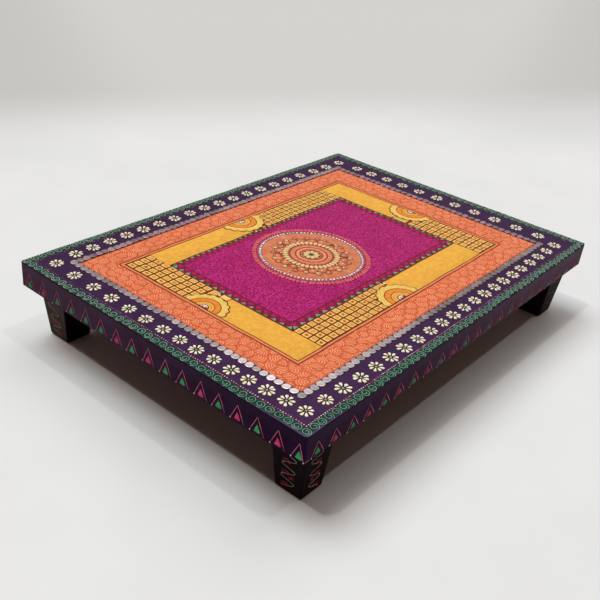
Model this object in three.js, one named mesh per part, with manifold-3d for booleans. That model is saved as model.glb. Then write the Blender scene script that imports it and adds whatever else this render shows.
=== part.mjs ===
// Low floor table of the bajot kind, in millimetres, +Z up.
// A flat top lies on a shallow frame of four rails, and each corner stands on a tapered block leg, whose head
// fits into the frame and whose shoulder carries the rails.
// The origin is on the floor under the middle of the table: X runs across, Y runs along the length,
// the front end is at -Y, and the long sides are left (-X) and right (+X).
import * as THREE from 'three';
import { mergeVertices } from 'three/addons/utils/BufferGeometryUtils.js';
import Module from 'manifold-3d';

// Overall sizes
const tableWidth = 432;
const tableLength = 610;
const tableHeight = 102;
const edgeBandHeight = 30.5;

// Top board
const topThickness = 12;
const planCornerRadius = 4;
const topEdgeSoftening = 1.2;

// Frame rails
const sideRailThickness = 15;
const endRailThickness = 24;

// Legs: a head between the rails, a shoulder under them and a taper down to the foot
const legHeadSize = 38.5;
const legShoulderSize = 46;
const legFootSize = 34;
const legEdgeRadius = 2;
const legFitGap = 0.3;
const legShoulderInsetX = 9.6;
const legShoulderInsetY = 17.2;
const legFootInsetX = 15;
const legFootInsetY = 25.5;
const legFootChamfer = 1.5;
const legFootChamferHeight = 2;

// Cross batten under the middle of the top
const battenWidth = 50;
const battenThickness = 12;
const battenScrewInset = 45;

// Rows of round bright discs, glued down round the top's border
const discDiameter = 8.9;
const discThickness = 0.6;
const discPitch = 9.1;
const discNeckWidth = 2;
const discRowInsetFront = 46;
const discRowInsetBack = 54;
const discRowInsetSide = 43.5;

// Wood screws: one size for the top, one for the batten, one for the legs
const screwShankDiameter = 4;
const screwHeadDiameter = 8;
const screwHeadHeight = 3;
const screwTipLength = 4;
const screwTipDiameter = 1;
const screwHoleClearance = 0.3;
const topScrewBite = 8;
const legScrewBiteX = 9;
const legScrewBiteY = 16;
const legScrewSpacing = 9;
const endRailScrewInset = 100;
const sideRailScrewInset = 120;

// Dowels in the butt joints of the frame
const dowelDiameter = 6;
const dowelEndChamfer = 0.8;
const dowelDepthInEndRail = 15;
const dowelDepthInSideRail = 15;
const dowelClearance = 0.3;
const dowelSpacing = 9;

// Overrun of every cut past the surface it opens
const overrun = 1;

// Facets, as counts
const roundSides = 12;
const cornerSegments = 4;
const discArcSegments = 3;

// Places worked out from the sizes above
const railHeight = edgeBandHeight - topThickness;
const topUnderside = tableHeight - topThickness;
const railUnderside = tableHeight - edgeBandHeight;
const railMiddle = (topUnderside + railUnderside) / 2;
const frameInnerX = tableWidth / 2 - sideRailThickness;
const frameInnerY = tableLength / 2 - endRailThickness;

const wasm = await Module();
wasm.setup();

// Colours
const aubergine = new THREE.MeshStandardMaterial({ color: 0x3a2140, roughness: 0.45, metalness: 0 });
const borderPurple = new THREE.MeshStandardMaterial({ color: 0x45264f, roughness: 0.4, metalness: 0 });
const legBrown = new THREE.MeshStandardMaterial({ color: 0x22141a, roughness: 0.5, metalness: 0 });
const underBrown = new THREE.MeshStandardMaterial({ color: 0x33241f, roughness: 0.75, metalness: 0 });
const silver = new THREE.MeshStandardMaterial({ color: 0xb9b4bb, roughness: 0.25, metalness: 0.8 });
const steel = new THREE.MeshStandardMaterial({ color: 0x8b8c8e, roughness: 0.4, metalness: 0.9 });
const beech = new THREE.MeshStandardMaterial({ color: 0xc9a67c, roughness: 0.7, metalness: 0 });

const table = new THREE.Group();

// Adds one named piece, with its own copy of the material.
function addPiece(name, geometry, material) {
  const mesh = new THREE.Mesh(geometry, material.clone());
  mesh.name = name;
  table.add(mesh);
  return mesh;
}

// Turns a closed geometry into a solid for joins and cuts.
function toSolid(geometry) {
  const bare = geometry.clone();
  bare.deleteAttribute('normal');
  bare.deleteAttribute('uv');
  const merged = mergeVertices(bare);
  const vertProperties = new Float32Array(merged.attributes.position.array);
  const triVerts = new Uint32Array(merged.index.array);
  return new wasm.Manifold(new wasm.Mesh({ numProp: 3, vertProperties, triVerts }));
}

// Turns a solid back into a geometry.
function toGeometry(solid) {
  const mesh = solid.getMesh();
  const geometry = new THREE.BufferGeometry();
  geometry.setAttribute('position', new THREE.BufferAttribute(new Float32Array(mesh.vertProperties), 3));
  geometry.setIndex(new THREE.BufferAttribute(new Uint32Array(mesh.triVerts), 1));
  geometry.computeVertexNormals();
  return geometry;
}

// Cuts a list of closed geometries out of a body.
function cut(body, cutters) {
  let solid = toSolid(body);
  for (const cutter of cutters) {
    solid = solid.subtract(toSolid(cutter));
  }
  return toGeometry(solid);
}

// A box from its lowest and highest corners.
function boxBetween(low, high) {
  const size = new THREE.Vector3().subVectors(high, low);
  const middle = new THREE.Vector3().addVectors(low, high).multiplyScalar(1 / 2);
  const box = new THREE.BoxGeometry(size.x, size.y, size.z);
  return box.translate(middle.x, middle.y, middle.z);
}

// A rectangle whose chosen corners are rounded, counter-clockwise from the lower left.
function roundedRectangle(width, length, radii) {
  const shape = new THREE.Shape();
  const corners = [
    { x: -width / 2, y: -length / 2, turn: Math.PI },
    { x: width / 2, y: -length / 2, turn: Math.PI * 3 / 2 },
    { x: width / 2, y: length / 2, turn: 0 },
    { x: -width / 2, y: length / 2, turn: Math.PI / 2 },
  ];
  const points = [];
  corners.forEach((corner, index) => {
    const radius = radii[index];
    if (radius === 0) {
      points.push(new THREE.Vector2(corner.x, corner.y));
      return;
    }
    const centreX = corner.x - Math.sign(corner.x) * radius;
    const centreY = corner.y - Math.sign(corner.y) * radius;
    for (let step = 0; step <= cornerSegments; step += 1) {
      const angle = corner.turn + (step / cornerSegments) * Math.PI / 2;
      points.push(new THREE.Vector2(centreX + radius * Math.cos(angle), centreY + radius * Math.sin(angle)));
    }
  });
  shape.setFromPoints(points);
  return shape;
}

// A flat-headed screw on the Z axis, head face at zero, point downwards at -length.
function screwProfile(length, allowance) {
  const headRadius = screwHeadDiameter / 2 + allowance;
  const shankRadius = screwShankDiameter / 2 + allowance;
  const tipRadius = screwTipDiameter / 2 + allowance;
  return [
    new THREE.Vector2(0, -length - allowance),
    new THREE.Vector2(tipRadius, -length - allowance),
    new THREE.Vector2(shankRadius, -length + screwTipLength - allowance),
    new THREE.Vector2(shankRadius, -screwHeadHeight - allowance),
    new THREE.Vector2(headRadius, 0),
  ];
}

function screwGeometry(length) {
  const profile = screwProfile(length, 0);
  profile.push(new THREE.Vector2(0, 0));
  return new THREE.LatheGeometry(profile, roundSides).rotateX(Math.PI / 2);
}

function screwHoleGeometry(length) {
  const profile = screwProfile(length, screwHoleClearance);
  profile.push(new THREE.Vector2(screwHeadDiameter / 2 + screwHoleClearance, overrun));
  profile.push(new THREE.Vector2(0, overrun));
  return new THREE.LatheGeometry(profile, roundSides).rotateX(Math.PI / 2);
}

// A screw or its hole, turned from +Z to the direction its head faces, with its head face at a point.
function placed(geometry, point, headFaces) {
  const turn = new THREE.Quaternion().setFromUnitVectors(new THREE.Vector3(0, 0, 1), headFaces);
  return geometry.applyQuaternion(turn).translate(point.x, point.y, point.z);
}

// A dowel on the Y axis with bevelled ends, or its hole when there is a clearance.
function dowelGeometry(low, high, clearance) {
  const radius = dowelDiameter / 2 + clearance;
  const endRadius = radius - dowelEndChamfer;
  const profile = [
    new THREE.Vector2(0, low - clearance),
    new THREE.Vector2(endRadius, low - clearance),
    new THREE.Vector2(radius, low - clearance + dowelEndChamfer),
    new THREE.Vector2(radius, high + clearance - dowelEndChamfer),
    new THREE.Vector2(endRadius, high + clearance),
    new THREE.Vector2(0, high + clearance),
  ];
  return new THREE.LatheGeometry(profile, roundSides);
}

// Legs: where each stands, and its outline at the foot, under the rails and between them
const legHeadInsetX = sideRailThickness + legFitGap;
const legHeadInsetY = endRailThickness + legFitGap;
const corners = [
  { name: 'front_left', x: -1, y: -1 },
  { name: 'front_right', x: 1, y: -1 },
  { name: 'back_left', x: -1, y: 1 },
  { name: 'back_right', x: 1, y: 1 },
];

function legGeometry(corner) {
  const headX = corner.x * (tableWidth / 2 - legHeadInsetX - legHeadSize / 2);
  const headY = corner.y * (tableLength / 2 - legHeadInsetY - legHeadSize / 2);
  const shoulderX = corner.x * (tableWidth / 2 - legShoulderInsetX - legShoulderSize / 2);
  const shoulderY = corner.y * (tableLength / 2 - legShoulderInsetY - legShoulderSize / 2);
  const footX = corner.x * (tableWidth / 2 - legFootInsetX - legFootSize / 2);
  const footY = corner.y * (tableLength / 2 - legFootInsetY - legFootSize / 2);
  const shoulderShare = legShoulderSize / legHeadSize;
  const footShare = legFootSize / legHeadSize;
  const chamferShare = (legFootSize - 2 * legFootChamfer) / legHeadSize;
  const levels = [
    { z: 0, x: footX, y: footY, share: chamferShare },
    { z: legFootChamferHeight, x: footX, y: footY, share: footShare },
    { z: railUnderside, x: shoulderX, y: shoulderY, share: shoulderShare },
    { z: railUnderside, x: headX, y: headY, share: 1 },
    { z: topUnderside, x: headX, y: headY, share: 1 },
  ];
  const radii = [legEdgeRadius, legEdgeRadius, legEdgeRadius, legEdgeRadius];
  const outline = roundedRectangle(legHeadSize, legHeadSize, radii);
  const steps = levels.length - 1;
  const geometry = new THREE.ExtrudeGeometry(outline, { depth: steps, steps, bevelEnabled: false });
  const position = geometry.attributes.position;
  for (let index = 0; index < position.count; index += 1) {
    const level = levels[Math.round(position.getZ(index))];
    const x = level.x + level.share * position.getX(index);
    const y = level.y + level.share * position.getY(index);
    position.setXYZ(index, x, y, level.z);
  }
  return geometry;
}

// Leg screws: one into the side rail, one into the end rail, heads on the leg's inner faces
function legScrews(corner) {
  const innerX = tableWidth / 2 - legHeadInsetX - legHeadSize;
  const innerY = tableLength / 2 - legHeadInsetY - legHeadSize;
  const middleX = innerX + legHeadSize / 2;
  const middleY = innerY + legHeadSize / 2;
  return [
    {
      name: `leg_screw_side_${corner.name}`,
      point: new THREE.Vector3(corner.x * innerX, corner.y * middleY, railMiddle + legScrewSpacing / 2),
      headFaces: new THREE.Vector3(-corner.x, 0, 0),
      length: legHeadSize + legFitGap + legScrewBiteX,
    },
    {
      name: `leg_screw_end_${corner.name}`,
      point: new THREE.Vector3(corner.x * middleX, corner.y * innerY, railMiddle - legScrewSpacing / 2),
      headFaces: new THREE.Vector3(0, -corner.y, 0),
      length: legHeadSize + legFitGap + legScrewBiteY,
    },
  ];
}

// Screws that go up into the top: through the rails and through the batten
const downwards = new THREE.Vector3(0, 0, -1);
const topScrews = [];
const endRailScrewY = tableLength / 2 - endRailThickness / 2;
const sideRailScrewX = tableWidth / 2 - sideRailThickness / 2;
const endRailScrewX = tableWidth / 2 - endRailScrewInset;
const sideRailScrewY = tableLength / 2 - sideRailScrewInset;
for (const end of [{ name: 'front', y: -1 }, { name: 'back', y: 1 }]) {
  for (const side of [{ name: 'left', x: -1 }, { name: 'right', x: 1 }]) {
    topScrews.push({
      name: `rail_screw_${end.name}_${side.name}`,
      rail: `rail_${end.name}`,
      point: new THREE.Vector3(side.x * endRailScrewX, end.y * endRailScrewY, railUnderside),
      headFaces: downwards,
      length: railHeight + topScrewBite,
    });
    topScrews.push({
      name: `rail_screw_${side.name}_${end.name}`,
      rail: `rail_${side.name}`,
      point: new THREE.Vector3(side.x * sideRailScrewX, end.y * sideRailScrewY, railUnderside),
      headFaces: downwards,
      length: railHeight + topScrewBite,
    });
    topScrews.push({
      name: `batten_screw_${end.name}_${side.name}`,
      rail: 'batten',
      point: new THREE.Vector3(
        side.x * (frameInnerX - battenScrewInset),
        end.y * battenWidth / 4,
        topUnderside - battenThickness,
      ),
      headFaces: downwards,
      length: battenThickness + topScrewBite,
    });
  }
}

// Dowels across the four butt joints, one above the other at the middle of the side rail's end
const dowels = [];
for (const corner of corners) {
  for (const tier of [{ name: 'upper', z: 1 }, { name: 'lower', z: -1 }]) {
    dowels.push({
      name: `dowel_${corner.name}_${tier.name}`,
      sideRail: `rail_${corner.name.split('_')[1]}`,
      endRail: `rail_${corner.name.split('_')[0]}`,
      x: corner.x * sideRailScrewX,
      y: corner.y * frameInnerY,
      z: railMiddle + tier.z * dowelSpacing / 2,
      outward: corner.y,
    });
  }
}

function placedDowel(dowel, clearance) {
  const into = dowel.outward > 0 ? dowelDepthInSideRail : dowelDepthInEndRail;
  const out = dowel.outward > 0 ? dowelDepthInEndRail : dowelDepthInSideRail;
  return dowelGeometry(-into, out, clearance).translate(dowel.x, dowel.y, dowel.z);
}

// Every hole that a piece holds, found by the names of the screws and dowels that enter it
function screwHole(screw) {
  return placed(screwHoleGeometry(screw.length), screw.point, screw.headFaces);
}

function holesIn(name) {
  const holes = [];
  for (const screw of topScrews) {
    if (screw.rail === name || name === 'top_board') {
      holes.push(screwHole(screw));
    }
  }
  for (const dowel of dowels) {
    if (dowel.sideRail === name || dowel.endRail === name) {
      holes.push(placedDowel(dowel, dowelClearance));
    }
  }
  for (const corner of corners) {
    const [end, side] = corner.name.split('_');
    const [sideScrew, endScrew] = legScrews(corner);
    if (name === `rail_${side}` || name === `leg_${corner.name}`) {
      holes.push(screwHole(sideScrew));
    }
    if (name === `rail_${end}` || name === `leg_${corner.name}`) {
      holes.push(screwHole(endScrew));
    }
  }
  return holes;
}

// Top board, its upper arris softened all round
function topBoard() {
  const radius = planCornerRadius - topEdgeSoftening;
  const outline = roundedRectangle(
    tableWidth - 2 * topEdgeSoftening,
    tableLength - 2 * topEdgeSoftening,
    [radius, radius, radius, radius],
  );
  const body = new THREE.ExtrudeGeometry(outline, {
    depth: topThickness,
    bevelEnabled: true,
    bevelThickness: topEdgeSoftening,
    bevelSize: topEdgeSoftening,
    bevelSegments: 2,
  });
  body.translate(0, 0, topUnderside - topEdgeSoftening);
  const bevelOverrun = 2 * topEdgeSoftening + overrun;
  const below = boxBetween(
    new THREE.Vector3(-tableWidth / 2 - overrun, -tableLength / 2 - overrun, topUnderside - bevelOverrun),
    new THREE.Vector3(tableWidth / 2 + overrun, tableLength / 2 + overrun, topUnderside),
  );
  return cut(body, [below, ...holesIn('top_board')]);
}

addPiece('top_board', topBoard(), borderPurple);

// Rails: the end rails run the full width with rounded outer corners, the side rails stand between them
for (const end of [{ name: 'front', y: -1 }, { name: 'back', y: 1 }]) {
  const lower = end.y < 0 ? planCornerRadius : 0;
  const upper = end.y > 0 ? planCornerRadius : 0;
  const outline = roundedRectangle(tableWidth, endRailThickness, [lower, lower, upper, upper]);
  const body = new THREE.ExtrudeGeometry(outline, { depth: railHeight, bevelEnabled: false });
  body.translate(0, end.y * endRailScrewY, railUnderside);
  addPiece(`rail_${end.name}`, cut(body, holesIn(`rail_${end.name}`)), aubergine);
}
for (const side of [{ name: 'left', x: -1 }, { name: 'right', x: 1 }]) {
  const body = new THREE.BoxGeometry(sideRailThickness, 2 * frameInnerY, railHeight);
  body.translate(side.x * sideRailScrewX, 0, railMiddle);
  addPiece(`rail_${side.name}`, cut(body, holesIn(`rail_${side.name}`)), aubergine);
}

// Legs
for (const corner of corners) {
  addPiece(`leg_${corner.name}`, cut(legGeometry(corner), holesIn(`leg_${corner.name}`)), legBrown);
}

// Batten across the middle, between the side rails
const battenBody = new THREE.BoxGeometry(2 * frameInnerX, battenWidth, battenThickness);
battenBody.translate(0, 0, topUnderside - battenThickness / 2);
addPiece('batten', cut(battenBody, holesIn('batten')), underBrown);

// Rows of discs: an outline of circles in a line, each joined to the next by a narrow neck
function discRowOutline(count, pitch) {
  const radius = discDiameter / 2;
  const neckAngle = Math.asin(discNeckWidth / discDiameter);
  const half = [];
  for (let disc = 0; disc < count; disc += 1) {
    const centre = (disc - (count - 1) / 2) * pitch;
    const from = disc === 0 ? 0 : neckAngle;
    const to = disc === count - 1 ? Math.PI : Math.PI - neckAngle;
    const segments = discArcSegments + (disc === 0 || disc === count - 1 ? 1 : 0);
    for (let step = 0; step <= segments; step += 1) {
      const angle = from + (to - from) * step / segments;
      half.push(new THREE.Vector2(centre - radius * Math.cos(angle), -radius * Math.sin(angle)));
    }
  }
  const otherHalf = half.slice(1, -1).map((point) => new THREE.Vector2(point.x, -point.y)).reverse();
  return new THREE.Shape([...half, ...otherHalf]);
}

function discRow(count, pitch) {
  const outline = discRowOutline(count, pitch);
  return new THREE.ExtrudeGeometry(outline, { depth: discThickness, bevelEnabled: false });
}

const discSpanX = tableWidth - 2 * discRowInsetSide;
const discSpanY = tableLength - discRowInsetFront - discRowInsetBack;
const discStepsX = Math.round(discSpanX / discPitch);
const discStepsY = Math.round(discSpanY / discPitch);
const discRowFrontY = discRowInsetFront - tableLength / 2;
const discRowBackY = tableLength / 2 - discRowInsetBack;
for (const row of [{ name: 'front', y: discRowFrontY }, { name: 'back', y: discRowBackY }]) {
  const geometry = discRow(discStepsX + 1, discSpanX / discStepsX);
  addPiece(`disc_row_${row.name}`, geometry.translate(0, row.y, tableHeight), silver);
}
for (const row of [{ name: 'left', x: -discSpanX / 2 }, { name: 'right', x: discSpanX / 2 }]) {
  const geometry = discRow(discStepsY - 1, discSpanY / discStepsY).rotateZ(Math.PI / 2);
  const middleY = (discRowFrontY + discRowBackY) / 2;
  addPiece(`disc_row_${row.name}`, geometry.translate(row.x, middleY, tableHeight), silver);
}

// Screws
for (const screw of [...topScrews, ...corners.flatMap(legScrews)]) {
  addPiece(screw.name, placed(screwGeometry(screw.length), screw.point, screw.headFaces), steel);
}

// Dowels
for (const dowel of dowels) {
  addPiece(dowel.name, placedDowel(dowel, 0), beech);
}

export default table;
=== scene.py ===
import math
import random

import bpy
import numpy as np
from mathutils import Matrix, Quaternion, Vector

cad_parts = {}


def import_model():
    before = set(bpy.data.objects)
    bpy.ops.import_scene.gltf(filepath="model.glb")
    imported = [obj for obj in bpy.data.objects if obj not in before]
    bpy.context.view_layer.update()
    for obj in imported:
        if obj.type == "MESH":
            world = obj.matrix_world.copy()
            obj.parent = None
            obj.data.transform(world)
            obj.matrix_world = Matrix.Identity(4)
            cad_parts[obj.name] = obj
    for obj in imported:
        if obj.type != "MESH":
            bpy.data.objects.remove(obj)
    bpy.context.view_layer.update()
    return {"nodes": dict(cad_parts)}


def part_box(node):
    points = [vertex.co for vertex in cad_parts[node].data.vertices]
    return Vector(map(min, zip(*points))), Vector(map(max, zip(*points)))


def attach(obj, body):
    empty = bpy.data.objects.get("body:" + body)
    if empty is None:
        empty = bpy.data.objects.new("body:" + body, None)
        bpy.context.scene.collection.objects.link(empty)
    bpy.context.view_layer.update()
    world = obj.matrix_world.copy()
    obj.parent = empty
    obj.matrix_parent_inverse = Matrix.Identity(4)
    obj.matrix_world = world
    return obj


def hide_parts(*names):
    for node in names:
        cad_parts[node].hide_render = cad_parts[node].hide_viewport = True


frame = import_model()

# Units and the board that carries the ornament: millimetres here, metres in Blender
MM = 0.001
board_low, board_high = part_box("top_board")
WIDTH = (board_high.x - board_low.x) / MM
LENGTH = (board_high.y - board_low.y) / MM
TOP = board_high.z / MM
BAND_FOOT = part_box("rail_front")[0].z / MM
HALF_X = WIDTH / 2
HALF_Y = LENGTH / 2
TURN = 2 * math.pi

# How deep the foot of every raised shape lies in the surface that carries it
SUNK = -0.12

# Distances of the painted bands from the front, right, back and left edges
MARGIN_OUTER = (0.3, 0.3, 0.6, 0.6)
GREEN_OUTER = (0.4, 0.4, 0.6, 0.6)
GREEN_INNER = (10.8, 9.6, 14.4, 11.3)
THREAD = (12.7, 11.2, 16.4, 13.0)
DISCS = (45.1, 42.9, 55.4, 42.3)
ORANGE_OUTER = (48.9, 46.7, 60.6, 47.1)
STRIPE_OUTER = (81.7, 77.9, 101.6, 78.3)
YELLOW_OUTER = (87.2, 83.0, 107.6, 83.8)
YELLOW_INNER = (125.6, 122.4, 149.5, 118.4)
FIELD_EDGE = (138.0, 134.2, 163.6, 129.0)

# How far the green band stands off at the near corner, along how much of each edge, and the points that do
NEAR_MARGIN = 2.8
NEAR_REACH = 75.0
NEAR_POINTS = slice(62, 92)

# Ornament sizes
SCROLL_RADIUS = 4.6
SCROLL_PITCH = 11.0
SCROLL_LINE = 0.8
DOT_PITCH = 3.1
DAISY_RADIUS = 8.7
DISC_SIZE = 9.1
DISC_POINTS = 24
DISC_SQUARENESS = 2.25
DISC_COUNTS = {"front": 36, "right": 54, "back": 36, "left": 56}
# Widths of the dark line along the orange band's outer edge, widened at the back and the left as painted
# shadow beside the discs
ORANGE_EDGE_LINE_AND_SHADOW = (0.3, 0.3, 1.2, 1.5)
CURL_CELL = 13.5
CURL_PITCH = 2.55
CURL_WIDTH = 1.75
CURL_GAP = 0.5
TILE_SHARE = 0.77
LADDER_PITCH = 2.8
TOOTH_PITCHES = (11.3, 12.8, 10.1, 9.4)
PEBBLE = 2.4
FIELD_STEP = 0.75
MEDALLION_CENTRE = (-6.0, -25.0)
MEDALLION_RADIUS = 75.8
PEAK_LINE = 0.75
LEG_FOOT_TOP = 2.0
SCRAWL_TOP = BAND_FOOT - 4.0
SCRAWL_MIDDLE = 18.5
SCRAWL_HALF = 8.2
SCRAWL_PERIOD = 16.7
SCRAWL_SLANT = 0.9
SCRAWL_LINE = 0.85
SCRAWL_STROKE = 0.95
SIDE_CORNER = 4.0

# The room
FLOOR_REACH = 14.0
FLOOR_LEVEL = -0.0004
ROOM_COLOUR = (1.42, 0.9, 0.6, 1.0)
ROOM_LIGHT = 0.076

# Lamps: the way towards each, its share of the light on the floor, its width in degrees and its colour
LAMPS = {
    "key": ((-0.39, -0.087, 1.0), 0.522, 35.5, (0.944, 1.015, 1.041)),
    "back": ((-0.175, 0.577, 1.0), 0.216, 46.5, (1.0, 1.0, 1.0)),
    "front": ((-0.205, -0.37, 1.0), 0.115, 1.5, (1.14, 1.01, 0.86)),
    "right": ((0.285, 0.175, 1.0), 0.07, 1.5, (1.0, 1.0, 1.0)),
}

# The camera: where it stands, its turn round the table, its height and its roll in degrees, and its lens
EYE = (0.5313, -0.7676, 0.5582)
EYE_AZIMUTH = 38.56
EYE_ELEVATION = 30.52
EYE_ROLL = 5.64
LENS = 48.89
LENS_SHIFT = (0.0472, 0.0155)

SIDES = ("front", "right", "back", "left")
OUTWARDS = {"front": (0.0, -1.0), "right": (1.0, 0.0), "back": (0.0, 1.0), "left": (-1.0, 0.0)}

# Points of a frame line along each side and round each corner
SIDE_STEPS = 72
CORNER_STEPS = 6

# How strongly the top and the sides mirror the room
SATIN = 0.08
SIDE_SATIN = 0.015

# Sections of raised shapes: shares of the way across or out, and of the height, where None lies sunk
RIDGE_SECTION = ((-0.5, None), (-0.34, 0.75), (0.0, 1.0), (0.34, 0.75), (0.5, None))
SOFT_PROFILE = ((1.0, None), (0.93, 0.55), (0.72, 0.9), (0.35, 1.0))
CRISP_PROFILE = ((1.0, None), (1.0, 0.8), (0.96, 1.0))
DISC_PROFILE = ((1.0, None), (1.0, 0.3), (0.94, 0.6), (0.84, 0.7), (0.6, 0.6), (0.25, 0.52))

# Daisies of each side: count, places of the first and last and their pull, bow and lean of the places
# between, inset with its drift and what the near and the far end add, and seed
DAISIES = {
    "front": (15, (33.6, 408.6, -1.8), (0.241, 0.139), (24.7, 0.0, 2.9, 4.8), 21),
    "right": (21, (54.5, 565.4, 1.5), (0.049, 0.067), (21.3, 4.6, 2.3, 0.9), 22),
    "left": (19, (57.4, 571.8, 1.4), (-0.088, 0.036), (22.4, 4.9, 3.5, 2.2), 23),
    "back": (11, (64.0, 376.1, 0.0), (-0.104, 0.0), (33.1, -1.7, -0.7, 0.6), 24),
}

# Place and radius of each side's half rosette
ROSETTES = {"front": (-3.0, 28.8), "right": (-25.8, 31.6), "back": (0.0, 31.6), "left": (-22.0, 32.0)}

# Counts of a rosette's scallops and rays, and inner edge, outer edge and colour of its rings, as shares
# of its radius
ROSETTE_SCALLOPS = 9
ROSETTE_RAYS = 46
ROSETTE_RINGS = ((0.225, 0.325, "rim_amber"), (0.337, 0.43, "rim_amber"), (0.46, 0.675, "rim_orange"))

# For each side: the way from the checks to the rosette, the checks' pitch, and where the bars start and end
# and the checks end, counted from the rosette's middle
CHECKS = {
    "front": (1, 12.0, -19.0, -8.6, 8.4), "right": (1, 10.2, -3.0, 9.0, 12.6),
    "back": (-1, 10.2, -15.0, 6.0, 9.0), "left": (-1, 9.8, -15.0, 4.0, 9.0),
}

# Count of peaks on a side, places of the first and last, heights of tips and feet, and reaches of the feet
PEAKS = {
    "front": (17, 17.5, 425.0, 20.3, 1.8, 8.4, 9.2), "right": (22, 18.8, 585.0, 17.0, 1.0, 7.8, 10.6),
    "back": (17, 12.0, 420.0, 19.0, 1.2, 8.4, 9.4), "left": (22, 14.0, 592.0, 18.0, 1.2, 8.4, 9.4),
}

# Green and pink leaves in the front's peaks, from left to right; the other sides take turns
FRONT_LEAVES = "gpggggpgpggpgpgpg"


# Mesh building

class Relief:
    """One piece of ornament: closed raised shapes gathered into a single mesh."""

    def __init__(self, name, *colours, slot="top_paint", place=None):
        self.name = name
        self.colours = colours
        self.slot = slot
        self.place = place or on_top
        self.points = []
        self.faces = []
        self.indices = []
        self.count = 0

    def add(self, points, faces, material=0):
        self.points.append(np.asarray(points, float))
        self.faces.extend([tuple(i + self.count for i in face) for face in faces])
        self.indices.extend([material] * len(faces))
        self.count += len(points)

    def finish(self):
        mesh = bpy.data.meshes.new(self.name)
        points = self.place(np.concatenate(self.points)) * MM
        mesh.from_pydata(points.tolist(), [], self.faces)
        for colour in self.colours:
            mesh.materials.append(finishes[colour])
        mesh.polygons.foreach_set("material_index", self.indices)
        mesh.polygons.foreach_set("use_smooth", [True] * len(mesh.polygons))
        mesh.update()
        piece = bpy.data.objects.new(self.name, mesh)
        bpy.context.scene.collection.objects.link(piece)
        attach(piece, "root")
        return piece


def strip_faces(rows, columns, wrap_rows=False, wrap_columns=True, flip=False):
    """Quads over a grid of points, rows along the shape and columns round its section."""
    faces = []
    last_row = rows if wrap_rows else rows - 1
    last_column = columns if wrap_columns else columns - 1
    for i in range(last_row):
        a = i * columns
        b = ((i + 1) % rows) * columns
        for j in range(last_column):
            k = (j + 1) % columns
            face = (a + j, b + j, b + k, a + k)
            faces.append(face[::-1] if flip else face)
    return faces


def sweep(relief, lines, closed, material):
    """A skin over lines of points that run side by side round a section, capped where it is open."""
    count = len(lines[0])
    columns = len(lines)
    faces = strip_faces(count, columns, wrap_rows=closed)
    if not closed:
        faces.append(tuple(range(columns)))
        faces.append(tuple(reversed(range((count - 1) * columns, count * columns))))
    relief.add(np.stack(lines, 1).reshape(-1, 3), faces, material)


def stack(relief, rings, material):
    """A skin over closed rings of points that lie one above the other, with a cap at each end."""
    count = len(rings[0])
    last = len(rings) - 1
    faces = []
    for j in range(last):
        for i in range(count):
            k = (i + 1) % count
            faces.append((j * count + i, j * count + k, (j + 1) * count + k, (j + 1) * count + i))
    faces.append(tuple(range(last * count, (last + 1) * count)))
    faces.append(tuple(reversed(range(count))))
    relief.add(np.concatenate(rings), faces, material)


def to_the_left(line, closed):
    """Unit vectors that point to the left of the way along a line of points."""
    along = np.roll(line, -1, 0) - np.roll(line, 1, 0) if closed else np.gradient(line, axis=0)
    along = along / np.maximum(np.linalg.norm(along, axis=1), 1e-9)[:, None]
    return np.stack([-along[:, 1], along[:, 0]], 1)


def ridge(relief, line, width, height, closed=False, lift=0.0, material=0):
    """A raised line with a round top along a path."""
    line = np.asarray(line, float)
    across = to_the_left(line, closed)
    taper = np.ones(len(line))
    if not closed:
        taper[0] = taper[-1] = 0.45
    lines = []
    for offset, rise in RIDGE_SECTION:
        flat = line + across * (offset * width * taper)[:, None]
        level = np.full(len(line), lift + SUNK) if rise is None else lift + rise * height * taper
        lines.append(np.column_stack([flat, level]))
    sweep(relief, lines, closed, material)


def dome(relief, outline, height, lift=0.0, material=0, soft=True):
    """A raised island with the given outline, counter-clockwise."""
    outline = np.asarray(outline, float)
    centre = outline.mean(0)
    rings = []
    for share, rise in SOFT_PROFILE if soft else CRISP_PROFILE:
        flat = centre + (outline - centre) * share
        level = lift + SUNK if rise is None else lift + rise * height
        rings.append(np.column_stack([flat, np.full(len(outline), level)]))
    stack(relief, rings, material)


def band(relief, outer, inner, height, lift=0.0, material=0, closed=True):
    """A flat raised band between two lines of equal length, the outer one on the right of the way along."""
    step = inner - outer
    step = step / np.maximum(np.linalg.norm(step, axis=1), 1e-9)[:, None]
    edge = min(0.15, height)
    low = np.full(len(outer), lift + SUNK)
    shoulder = np.full(len(outer), lift + height - edge * 0.5)
    high = np.full(len(outer), lift + height)
    places = ((outer, low), (outer, shoulder), (outer + step * edge, high))
    places += ((inner - step * edge, high), (inner, shoulder), (inner, low))
    sweep(relief, [np.column_stack(place) for place in places], closed, material)


# Places on the top

def hand(points):
    """The small waves of a pattern drawn by hand, as a shift of every point."""
    points = np.asarray(points, float)
    x = points[..., 0]
    y = points[..., 1]
    shift_x = 0.22 * np.sin(y / 17.0 + 0.6) + 0.14 * np.sin(y / 7.3 + x / 60.0)
    shift_y = 0.22 * np.sin(x / 15.0 + 1.9) + 0.14 * np.sin(x / 6.7 - y / 70.0)
    return np.stack([x + shift_x, y + shift_y], -1)


def on_top(points):
    placed = points.copy()
    placed[:, :2] = hand(points[:, :2])
    placed[:, 2] += TOP
    return placed


def edge_point(side, along, depth):
    """A point given by its distance along one edge and its depth in from that edge."""
    if side == "front":
        return (along - HALF_X, depth - HALF_Y)
    if side == "back":
        return (along - HALF_X, HALF_Y - depth)
    if side == "right":
        return (HALF_X - depth, along - HALF_Y)
    return (depth - HALF_X, along - HALF_Y)


def corners(insets):
    """Front left, front right, back right and back left corners of a band's line."""
    front, right, back, left = insets
    return np.array([
        (left - HALF_X, front - HALF_Y),
        (HALF_X - right, front - HALF_Y),
        (HALF_X - right, HALF_Y - back),
        (left - HALF_X, HALF_Y - back),
    ])


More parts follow.
